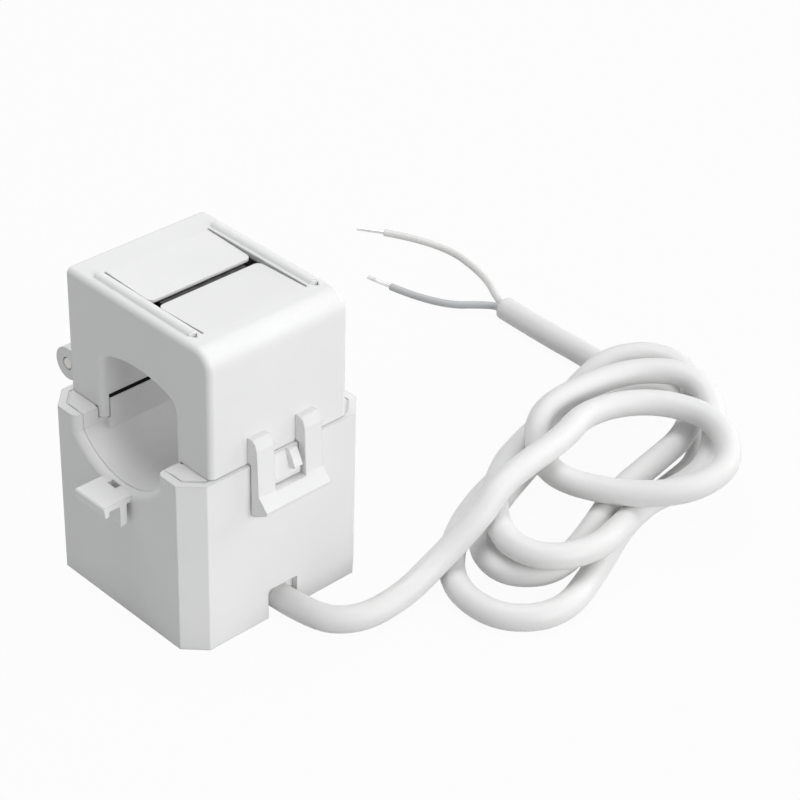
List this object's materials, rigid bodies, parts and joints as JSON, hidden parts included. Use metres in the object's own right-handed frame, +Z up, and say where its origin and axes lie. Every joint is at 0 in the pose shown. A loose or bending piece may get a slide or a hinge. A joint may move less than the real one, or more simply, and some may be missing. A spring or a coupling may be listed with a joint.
{
  "type": "current transformer",
  "caption": "Split-core current transformer with a hinged snap cap, a round-topped conductor window and a coiled output cable.",
  "frame": {"origin": "centre of the lower case's underside", "axes": "+Z up, -Y the front with the tie saddle (the conductor runs along Y), +X the latch and cable side, -X the hinge side"},
  "size_m": [0.1046, 0.1116, 0.0485],
  "materials": {
    "case_plastic": "fine satin moulding, white",
    "ferrite": "ground dark ferrite",
    "pin_steel": "plain drawn steel",
    "bobbin_plastic": "black moulding",
    "copper": "enamelled copper wire",
    "tape": "yellow polyester tape",
    "board": "green solder mask",
    "chip": "black component body",
    "solder": "tin solder",
    "jacket": "soft white cable jacket",
    "wire_white": "white insulation",
    "wire_grey": "light grey insulation"
  },
  "bodies": {
    "case": {"base_shell": "case_plastic", "base_cover": "case_plastic", "cable_clamp": "case_plastic", "lower_core": "ferrite", "bobbin_upper": "bobbin_plastic", "bobbin_lower": "bobbin_plastic", "winding": "copper", "coil_lead_a": "copper", "coil_lead_b": "copper", "winding_tape": "tape", "circuit_board": "board", "burden_resistor": "chip", "surge_diode": "chip", "solder_a": "solder", "solder_b": "solder", "solder_c": "solder", "solder_d": "solder", "tinned_tip_a": "solder", "tinned_tip_b": "solder", "inner_wire_a": "wire_white", "inner_wire_b": "wire_grey", "conductor_a": "wire_white", "conductor_b": "wire_grey", "cable_lead": "jacket", "cable_hank": "jacket", "cable_tail": "jacket"},
    "cap": {"cap_shell": "case_plastic", "core_retainer_left": "case_plastic", "core_retainer_right": "case_plastic", "upper_core": "ferrite", "hinge_pin": "pin_steel"}
  },
  "joints": [
    {"name": "cap_hinge", "type": "hinge", "parent": "case", "child": "cap", "pos_m": [-0.0188, 0, 0.0296], "axis": [0, -1, 0], "range_deg": [0, 105]}
  ]
}
